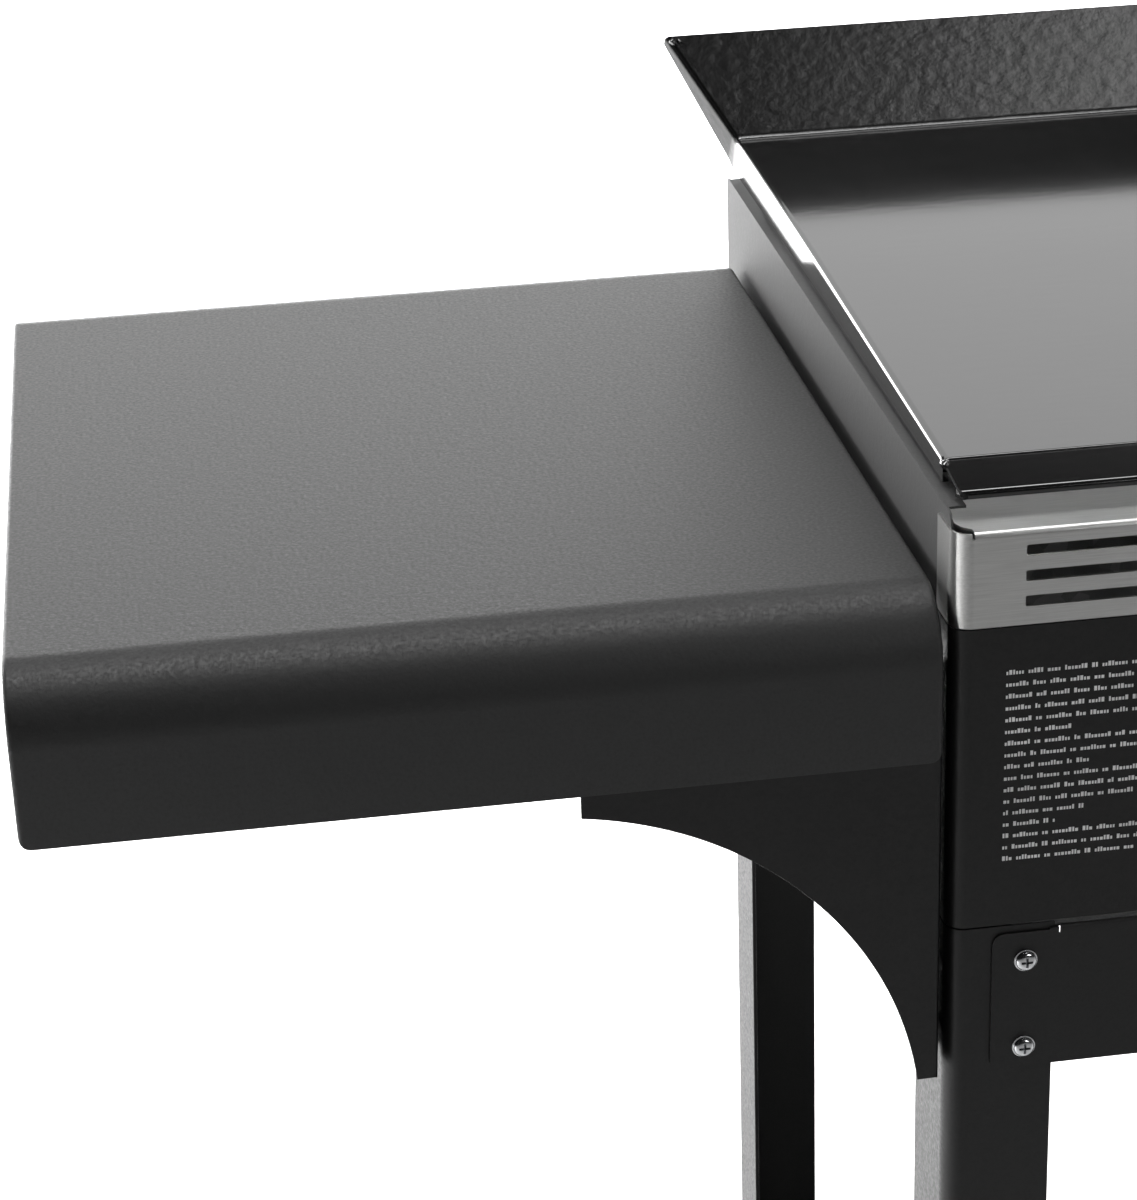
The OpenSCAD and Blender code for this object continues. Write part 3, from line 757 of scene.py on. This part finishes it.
def plate_rows():
    """Rows of points across the plate, front bend to backsplash top, with its rounded rims and skirts."""
    bend, fold, crest = plate_marks()[1:]
    start_at = (bend[0] - 0.9 * MM, bend[1] - 2.4 * MM)
    middle = (bend[0] + 250 * MM, bend[1] + (fold[1] - bend[1]) * 0.594 + 1.5 * MM)
    line = rounded([start_at, bend, middle, fold, crest], [1.2 * MM, 5, 4.5 * MM], 8)
    filled = []
    for one, two in zip(line, line[1:]):
        count = max(1, round((two - one).length / (12 * MM)))
        filled += [one.lerp(two, k / count) for k in range(count)]
    filled.append(line[-1])
    last = len(filled) - 1
    wide = PLATE_HIGH.x - FLARE - 0.2 * MM
    front_skirt = 9.5 * MM
    skirt_growth = 8.5 * MM
    splash_return = 20.6 * MM
    hanging = Vector((0, -1))
    leaning = Vector((13, -16)).normalized()
    rim = 3 * MM
    rows = []
    splash_from = 0
    for k, (y, z) in enumerate(filled):
        along = (filled[min(k + 1, last)] - filled[max(k - 1, 0)]).normalized()
        part = max(0.0, min(1.0, along.y / 0.9)) if y > middle[0] else 0.0
        rise = max(0.0, z - fold[1]) / (crest[1] - fold[1])
        floor_skirt = front_skirt + skirt_growth * (y - bend[0]) / (fold[0] - bend[0])
        if y < bend[0]:
            floor_skirt = front_skirt - (bend[1] - z)
        skirt = floor_skirt + (splash_return * (1 - 0.7 * rise) - floor_skirt) * part
        down = (hanging + (leaning - hanging) * part).normalized()
        half = wide + FLARE * rise
        splash_from = splash_from or (k if part > 0.5 else 0)
        across = []
        for a in range(7):
            turn = math.radians(90 * a / 6)
            across.append((half - rim + rim * math.sin(turn), rim * (1 - math.cos(turn))))
        right = [(0.0, 0.0), (half * 0.4, 0.0), (half * 0.8, 0.0), *across, (half, skirt)]
        whole = [(-x, d) for x, d in right[:0:-1]] + right
        rows.append([(x, y + down.x * d, z + down.y * d) for x, d in whole])
    return rows, splash_from


def build_plate():
    """The enamelled plate's floor, rims, skirts and flared backsplash in one sheet."""
    rows, splash_from = plate_rows()
    bm = bmesh.new()
    grid(bm, rows)
    per_row = len(rows[0]) - 1
    for k, face in enumerate(bm.faces):
        face.material_index = 1 if k // per_row >= splash_from else 0
    coats = ["enamel", "enamel_splash"]
    obj = piece("griddle_plate_sheet", bm, "plate", "enamel", ["griddle_plate"], coats)
    on_floor = Vector((100 * MM, 0, PLATE_HIGH.z - 57 * MM))
    nearest = min(obj.data.polygons, key=lambda face: (face.center - on_floor).length)
    if nearest.normal.z < 0:
        obj.data.flip_normals()
    thicken(obj, 2.6 * MM, even=False)
    bake(obj)
    finished(obj, 0.5 * MM, 60, 3, 30)


def build_lip():
    """The drip lip in front of the plate's floor: a sloping sheet with a rolled hem and round corners."""
    hem, bend = plate_marks()[:2]
    under = hem[1] - 3.4 * MM
    line = rounded([(bend[0] + 3 * MM, bend[1] - 0.3 * MM), hem, (hem[0] + 0.2 * MM, under),
                    (hem[0] + 5 * MM, under)], [2.4 * MM, 0.8 * MM], 8)
    wide = PLATE_HIGH.x - FLARE - 0.6 * MM
    bm = bmesh.new()
    prism(bm, strip(line, 1.6 * MM), "X", -wide, wide)
    for vert in bm.verts:
        inset = corner_lift(vert.co.y - hem[0])
        vert.co.x -= math.copysign(inset, vert.co.x)
    obj = piece("griddle_plate_lip", bm, "plate", "enamel")
    finished(obj, 0.4 * MM, 50, 3, 40)


def build_welds():
    """Weld beads where the plate's corners were closed."""
    bend, crest = plate_marks()[1::2]
    wide = PLATE_HIGH.x - FLARE
    bm = bmesh.new()
    for side in SIDES:
        spots = [
            ((side * (wide - 1.4 * MM), bend[0] - 0.8 * MM, bend[1] - 2.2 * MM), 2.2 * MM),
            ((side * (wide + FLARE - 4 * MM), crest[0] - 0.4 * MM, crest[1] - 2.6 * MM), 1.9 * MM),
            ((side * (wide + FLARE - 7.5 * MM), crest[0] - 0.6 * MM, crest[1] - 2.4 * MM), 1.4 * MM),
        ]
        for centre, size in spots:
            ball = bmesh.ops.create_icosphere(bm, subdivisions=3, radius=size)["verts"]
            for vert in ball:
                vert.co = vert.co * (1 + noise.noise(vert.co * 700) * 0.35)
                vert.co = Vector((vert.co.x, vert.co.y * 1.5, vert.co.z * 0.9)) + Vector(centre)
    obj = piece("plate_weld_beads", bm, "plate", "enamel")
    shade(obj, 60)


def build_drain():
    """The drain tube under the plate."""
    tray_low, tray_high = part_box("grease_tray")
    centre = ((tray_low.x + tray_high.x) / 2, tray_low.y + 34 * MM, PLATE_LOW.z)
    deep = 25.5 * MM
    bm = bmesh.new()
    lathe(bm, [(0, 7 * MM), (0, 9 * MM), (deep, 9 * MM), (deep, 7 * MM)], centre, (0, 0, 1))
    obj = piece("plate_drain_tube", bm, "plate", "enamel")
    finished(obj, 0.3 * MM, 40)


# ---------------------------------------------------------------- turned and moulded pieces


def pan_head(bm, centre, axis, radius, height):
    """A domed pan head on a thin washer face."""
    profile = [(-0.6 * MM, 0), (-0.6 * MM, radius * 0.96), (0, radius), (0.55 * MM, radius)]
    profile += [(0.75 * MM, radius * 0.97), (0.85 * MM, radius * 0.88), (height * 0.45, radius * 0.86)]
    for k in range(1, 9):
        a = math.radians(90 * k / 9)
        profile.append((height * (0.45 + 0.55 * math.sin(a)), radius * (0.3 + 0.56 * math.cos(a))))
    profile += [(height, radius * 0.25), (height, 0)]
    lathe(bm, profile, centre, axis, 32)


def crossed_recess(bm, centre, axis, radius, height):
    """Two tapered bars that cut a crossed recess into a head."""
    turn = Vector((0, 0, 1)).rotation_difference(Vector(axis)).to_matrix()
    size = radius * 0.58
    half = 0.65 * MM
    for turned in (0, 90):
        spin = Matrix.Rotation(math.radians(turned), 2)
        shape = [spin @ Vector(p) for p in ((-size, -half), (size, -half), (size, half), (-size, half))]
        lower = [centre + turn @ Vector((*(p * 0.4), height * 0.2)) for p in shape]
        upper = [centre + turn @ Vector((*p, height * 1.3)) for p in shape]
        solid(bm, lower, upper)


def build_heads(node):
    """Pan heads with crossed recesses over each screw of a CAD node."""
    bm = bmesh.new()
    crosses = bmesh.new()
    height = 3 * MM
    for low, high in islands(node):
        side = -1 if low.y + high.y < 0 else 1
        face = low.y + height if side < 0 else high.y - height
        seat = axis_point(low, high)
        seat.y = face
        radius = (high.x - low.x) / 2
        pan_head(bm, seat, (0, side, 0), radius, height)
        crossed_recess(crosses, seat, (0, side, 0), radius, height)
    obj = piece(node + "_heads", bm, "cart", "bright_zinc", [node], weld=False)
    combine(obj, crosses)
    shade(obj, 40)


def knob_skirt(bm, centre, radius, skirt):
    """The round part of a knob, with a scalloped edge and a flat front."""
    steps = 96
    wide = radius * 0.985
    turn = 3 * MM
    profile = [(0, radius - 1.2 * MM), (1.2 * MM, radius), (skirt - turn, wide)]
    for k in range(1, 7):
        a = math.radians(90 * k / 6)
        profile.append((skirt - turn + turn * math.sin(a), wide - turn * (1 - math.cos(a))))
    profile.append((skirt + 0.3 * MM, radius * 0.7))
    scallops = [0.45 * MM * (0.5 - 0.5 * math.cos(24 * 2 * math.pi * k / steps)) for k in range(steps)]
    rings = []
    for along, r in profile:
        rings.append(y_ring(bm, centre, -along, [r - (cut if r > radius * 0.9 else 0) for cut in scallops]))
    for one, two in zip(rings, rings[1:]):
        join(bm, one, two)
    bm.faces.new(rings[0][::-1])
    tip = bm.verts.new(centre + Vector((0, -skirt - 0.4 * MM, 0)))
    for k in range(steps):
        bm.faces.new((rings[-1][k], rings[-1][(k + 1) % steps], tip))


def knob_grip(bm, centre, radius, base, top):
    """The waisted bar that is gripped, from base to top along Y."""
    places = [-1 + 2 * k / 12 for k in range(13)]
    outline = [(4.2 * MM + 1.8 * MM * t * t, t * (radius - 3.6 * MM)) for t in places]
    outline += [(-x, z) for x, z in outline[::-1]]
    lower = [centre + Vector((x, base, z)) for x, z in outline]
    solid(bm, lower, [centre + Vector((x * 0.78, top, z * 0.97)) for x, z in outline])


def build_knob(name, body):
    """A control knob: a skirt with a scalloped edge, a raised grip and a pointer line."""
    low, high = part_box(name)
    centre = axis_point(low, high)
    radius = (high.x - low.x) / 2
    skirt = 14 * MM
    bm = bmesh.new()
    knob_skirt(bm, centre, radius, skirt)
    knob_grip(bm, centre, radius, 1 * MM - skirt, low.y - high.y)
    obj = piece(name + "_moulding", bm, body, "knob_plastic", [name], weld=False)
    finished(obj, 0.7 * MM, 40, 3, 40)
    pointer = bmesh.new()
    half = 0.8 * MM
    block(pointer, (centre.x - half, low.y - 0.05 * MM, centre.z + 5 * MM),
          (centre.x + half, low.y + 0.5 * MM, high.z - 6 * MM))
    line = piece(name + "_pointer", pointer, body, None, coats=["mark_ink"])
    finished(line, 0.1 * MM)


def build_bezels():
    """The three turned dial plates behind the knobs."""
    bm = bmesh.new()
    for low, high in islands("knob_bezels"):
        centre = axis_point(low, high)
        r = (high.x - low.x) / 2
        t = high.y - low.y
        profile = [(0, r * 0.4), (0, r), (t * 0.35, r), (t * 0.8, r - 0.8 * MM), (t, r - 1.8 * MM),
                   (t, r - 3.2 * MM), (t * 0.6, r - 4.2 * MM), (t * 0.6, r * 0.4)]
        lathe(bm, profile, centre, (0, -1, 0), 72)
    obj = piece("knob_dial_plates", bm, "cart", "trim_steel", ["knob_bezels"], ["dial_steel"])
    finished(obj, 0.15 * MM, 30)


def build_wheel(end):
    """A moulded wheel: a rim with a lip, a hub, six ribbed spokes and a thin web."""
    name = ended("wheel", end)
    low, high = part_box(name)
    centre = (low + high) / 2
    r = (high.x - low.x) / 2
    half = (high.y - low.y) / 2
    bm = bmesh.new()
    wide = half - 2 * MM
    rim = [(-wide, r - 6 * MM), (-wide, r), (wide, r),
           (wide, r - 6 * MM), (3 * MM, r - 8 * MM), (-3 * MM, r - 8 * MM)]
    ring_solid(bm, rim, centre, 72)
    bore = 5.08 * MM
    hub = [(-half, bore), (-half, 13 * MM), (-half + 1 * MM, 14 * MM), (half - 1 * MM, 14 * MM),
           (half, 13 * MM), (half, bore)]
    ring_solid(bm, hub, centre, 48)
    web = [(-2 * MM, 12 * MM), (-2 * MM, r - 5 * MM), (2 * MM, r - 5 * MM), (2 * MM, 12 * MM)]
    ring_solid(bm, web, centre, 48)
    for k in range(6):
        turn = Matrix.Rotation(math.radians(60 * k), 3, "Y")
        shape = [(11 * MM, -2.6 * MM), (r - 5 * MM, -1.8 * MM), (r - 5 * MM, 1.8 * MM), (11 * MM, 2.6 * MM)]
        spoke = [[centre + turn @ Vector((a, y, b)) for a, b in shape] for y in (-8 * MM, 8 * MM)]
        solid(bm, *spoke)
    obj = piece(name + "_moulding", bm, name + "_spin", "wheel_plastic", [name], weld=False)
    finished(obj, 0.6 * MM, 40, 2, 40)


def build_tyre(end):
    """A rubber tyre with a crowned tread cut by cross grooves."""
    name = ended("tyre", end)
    low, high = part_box(name)
    centre = (low + high) / 2
    outer = (high.x - low.x) / 2
    half = (high.y - low.y) / 2
    inner = outer - 12 * MM
    steps = 144
    rear = [(half * 0.12, outer - 1 * MM), (half * 0.18, outer), (half * 0.45, outer),
            (half - 3 * MM, outer - 0.8 * MM), (half - 0.8 * MM, outer - 3 * MM),
            (half, inner + 6 * MM), (half - 0.8 * MM, inner + 2 * MM), (half - 4 * MM, inner)]
    profile = [(-along, radius) for along, radius in rear[::-1]] + rear
    bm = bmesh.new()
    rings = []
    for along, radius in profile:
        first = 2 if along > 0 else 0
        depth = 1.1 * MM if radius > outer - 1 * MM else 0
        radii = [radius - (depth if (k + first) % 4 == 0 else 0) for k in range(steps)]
        rings.append(y_ring(bm, centre, along, radii))
    for one, two in zip(rings, rings[1:] + rings[:1]):
        join(bm, one, two)
    body = ended("wheel", end) + "_spin"
    obj = piece(name + "_rubber", bm, body, "tyre_rubber", [name])
    shade(obj, 30)


def build_feet():
    """Moulded feet that cup the left legs, with rounded edges."""
    for k, (low, high) in enumerate(islands("feet")):
        end = -1 if low.y + high.y < 0 else 1
        wide = high.x - low.x
        deep = high.y - low.y
        corner = Vector((low.x, low.y if end < 0 else high.y))
        ends = (corner.x, corner.y - end * deep), (corner.x + wide, corner.y)
        line = rounded([ends[0], corner, ends[1]], [10 * MM], 8)
        bm = bmesh.new()
        prism(bm, strip(line, end * 8 * MM), "Z", low.z, high.z)
        name = ended("foot", end) + "_moulding"
        obj = piece(name, bm, "cart", "foot_plastic", weld=False)
        if k == 0:
            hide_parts("feet")
        finished(obj, 1.2 * MM, 50, 3, 40)


def build_burner(name):
    """A tube burner with two rows of flame ports and its inlet tube."""
    low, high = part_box(name)
    x = (low.x + high.x) / 2
    r = 18 * MM
    top = high.z - r
    tube_front = low.y + 84.5 * MM
    steps = 48
    count = 150
    bm = bmesh.new()
    middle = Vector((x, 0, top))
    places = [tube_front + (high.y - tube_front) * k / count for k in range(count + 1)]
    made = [y_ring(bm, middle, y, [r] * steps) for y in places]
    ports = {7, 8, 15, 16}
    for k in range(count):
        for m in range(steps):
            n = (m + 1) % steps
            if m in ports and k % 4 == 1 and 6 < k < count - 6:
                continue
            bm.faces.new((made[k][m], made[k][n], made[k + 1][n], made[k + 1][m]))
    bm.faces.new(made[0])
    bm.faces.new(made[-1][::-1])
    obj = piece(name + "_tube", bm, "cart", "burner_steel", weld=False)
    thicken(obj, 1 * MM)
    bake(obj)
    finished(obj, 0.2 * MM, 60)
    feed = bmesh.new()
    inlet = [(0, 9 * MM), (0, 11.8 * MM), (1.5 * MM, 12.2 * MM), (3 * MM, 11 * MM),
             (88 * MM, 11 * MM), (88 * MM, 9 * MM)]
    ring_solid(feed, inlet, Vector((x, low.y, top - 14 * MM)), 40)
    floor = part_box("heat_shield")[0].z + SHEET
    for y in (high.y - 4 * MM, tube_front + 6 * MM):
        block(feed, (x - 14 * MM, y, floor), (x + 14 * MM, y + 2 * MM, top - r * 0.6))
    pipe = piece(name + "_inlet", feed, "cart", "burner_steel", weld=False)
    finished(pipe, 0.3 * MM, 40)
    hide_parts(name)


# ---------------------------------------------------------------- printed marks


def greeked(bm, left, right, z, seed):
    """One line of small upright bars in word-like groups; it stands for print and spells nothing."""
    x = left
    k = 0
    while x < right:
        count = 2 + int(7 * (0.5 + 0.5 * math.sin(seed * 12.9 + k * 78.2)))
        for m in range(count):
            tall = (2.0 if math.sin(seed * 3.1 + k * 7.7 + m * 5.3) > 0.55 else 1.35) * MM
            wide = (0.75 if math.sin(seed + k * 2.3 + m * 9.1) > -0.3 else 1.15) * MM
            if x + wide < right:
                block(bm, (x, FRONT - INK_PROUD, z), (x + wide, FRONT + INK_DEEP, z + tall))
            x += wide + 0.42 * MM
        x += 1.5 * MM
        k += 1


def build_marks():
    """Greeked notice on the panel's left end, and tick marks round each dial."""
    bm = bmesh.new()
    left = -HALF_W + 22 * MM
    top = PANEL_HIGH.z - 20.5 * MM
    pitch = 5.15 * MM
    lengths = [58, 86, 86, 86, 86, 29, 86, 86, 36, 86, 86, 86, 34, 22, 86, 86, 82]
    for k, length in enumerate(lengths):
        greeked(bm, left, left + length * MM, top - k * pitch, k + 1)
    piece("panel_notice_bars", bm, "cart", None, coats=["mark_ink"], weld=False)
    ticks = bmesh.new()
    for low, high in islands("knob_bezels"):
        centre = axis_point(low, high)
        r = (high.x - low.x) / 2
        for k in range(7):
            a = math.radians(90 + 30 * k)
            out = Vector((math.cos(a), 0, math.sin(a)))
            side = Vector((-math.sin(a), 0, math.cos(a)))
            near = centre + out * (r + 3 * MM)
            far = centre + out * (r + (7 if k % 3 == 0 else 5) * MM)
            half = side * 0.55 * MM
            flat = [near - half, far - half, far + half, near + half]
            lower = [(p.x, FRONT + INK_DEEP, p.z) for p in flat]
            solid(ticks, lower, [(p.x, FRONT - INK_PROUD, p.z) for p in flat])
    piece("dial_tick_marks", ticks, "cart", None, coats=["mark_ink"], weld=False)


# ---------------------------------------------------------------- CAD nodes that stay


def finish_cad_nodes():
    """Gives each CAD node that still shows its slot's finish and soft edges."""
    slots = {row["node"]: row["material_slot"] for row in frame["record"]["subparts"]}
    for name, obj in frame["nodes"].items():
        if obj.hide_render:
            continue
        obj.data.materials.clear()
        obj.data.materials.append(FINISH[slots[name]])
        weld = obj.modifiers.new("weld", "WELD")
        weld.merge_threshold = 1e-5
        bevel(obj, 0.3 * MM, 40, 2)
        smooth = obj.modifiers.new("normals", "WEIGHTED_NORMAL")
        smooth.keep_sharp = True


# ---------------------------------------------------------------- studio


def build_floor():
    """A plain pale floor, far wider than any view."""
    mesh = bpy.data.meshes.new("floor")
    far = 40
    corners = [(-far, -far, 0), (far, -far, 0), (far, far, 0), (-far, far, 0)]
    mesh.from_pydata(corners, [], [(0, 1, 2, 3)])
    obj = bpy.data.objects.new("floor", mesh)
    bpy.context.scene.collection.objects.link(obj)
    obj.data.materials.append(floor_material())


def soft_light(name, place, target, size, level, mirrored=True, cone=180):
    """A rectangular soft light aimed at a point, as bright as level, which the camera doesn't see."""
    data = bpy.data.lights.new(name, "AREA")
    data.shape = "RECTANGLE"
    data.size, data.size_y = size
    data.energy = level * math.pi * size[0] * size[1]
    data.spread = math.radians(cone)
    obj = bpy.data.objects.new(name, data)
    bpy.context.scene.collection.objects.link(obj)
    obj.location = place
    obj.rotation_euler = (Vector(target) - Vector(place)).to_track_quat("-Z", "Z").to_euler()
    obj.visible_camera = False
    obj.visible_glossy = mirrored
    return obj


def build_lights():
    """A backdrop brightest low down, soft boxes left, right, above and in front, and two floor lamps."""
    backdrop = [soft_light("low_backdrop", (0, 6.5, 1.0), (0, 0, 1.0), (16, 2.0), 14),
                soft_light("high_backdrop", (0, 6.5, 4.2), (0, 0, 4.2), (16, 4.4), 1.5)]
    for light in backdrop:
        light.visible_camera = True
    soft_light("left_box", (-2.9, 1.1, 1.3), (0, 1.1, 1.3), (2.4, 2.5), 1.5)
    soft_light("right_box", (2.9, 0.5, 1.8), (0, 0.2, 1.0), (3.0, 2.0), 0.6)
    soft_light("top_box", (0, 0.1, 2.6), (0, 0.1, 0.9), (2.6, 0.7), 1.4, True, 60)
    soft_light("front_box", (1.6, -2.7, 2.4), (0.1, 0.2, 0.9), (1.6, 1.1), 0.35, True, 40)
    soft_light("back_floor_lamp", (0.4, 2.6, 3.0), (0.4, 2.6, 0), (4, 2.4), 6, False, 90)
    soft_light("left_floor_lamp", (-2.6, 0.3, 2.6), (-2.6, 0.3, 0), (2, 3), 3.5, False, 70)


def build_world():
    """A grey surround that stays dark in reflections."""
    world = bpy.data.worlds.new("studio")
    bpy.context.scene.world = world
    world.use_nodes = True
    nodes = world.node_tree.nodes
    links = world.node_tree.links
    mirrored = nodes.new("ShaderNodeLightPath").outputs["Is Glossy Ray"]
    level = nodes.new("ShaderNodeMapRange")
    level.inputs["To Min"].default_value = 0.13
    level.inputs["To Max"].default_value = 0.01
    links.new(mirrored, level.inputs["Value"])
    links.new(level.outputs["Result"], nodes["Background"].inputs["Color"])


def build_camera():
    """The camera at the photograph's angle."""
    place = (-0.6245, -1.3369, 1.3439)
    yaw, pitch, roll = 0.1304, 0.4146, 0.0366
    ahead = Vector((math.sin(yaw) * math.cos(pitch), math.cos(yaw) * math.cos(pitch), -math.sin(pitch)))
    level = Vector((math.cos(yaw), -math.sin(yaw), 0))
    down = ahead.cross(level)
    right = level * math.cos(roll) + down * math.sin(roll)
    up = level * math.sin(roll) - down * math.cos(roll)
    data = bpy.data.cameras.new("camera")
    data.sensor_width = 36
    data.lens = 96.5
    data.clip_start = 0.05
    data.clip_end = 100
    obj = bpy.data.objects.new("camera", data)
    bpy.context.scene.collection.objects.link(obj)
    turn = Matrix((right, up, -ahead)).transposed()
    obj.matrix_world = Matrix.Translation(place) @ turn.to_4x4()
    bpy.context.scene.camera = obj


def main():
    """Makes the finishes, the pieces, the finish of the CAD that still shows, and the studio."""
    FINISH.update(make_materials())
    for side in SIDES:
        build_shelf(side)
        build_side_panel(side)
        for end in SIDES:
            build_gusset(side, end)
            build_leg(side, end)
    for end in SIDES:
        build_rail(end)
        build_wheel(end)
        build_tyre(end)
    build_panel()
    build_trim()
    build_plate()
    build_lip()
    build_welds()
    build_drain()
    for node in ("rail_screws", "base_screws"):
        build_heads(node)
    for place in ("left", "centre", "right"):
        build_knob("knob_" + place, "control_" + place)
        build_burner("burner_" + place)
    build_bezels()
    build_feet()
    build_marks()
    finish_cad_nodes()
    build_floor()
    build_lights()
    build_world()
    build_camera()
    bpy.context.scene.view_settings.view_transform = "Standard"


main()
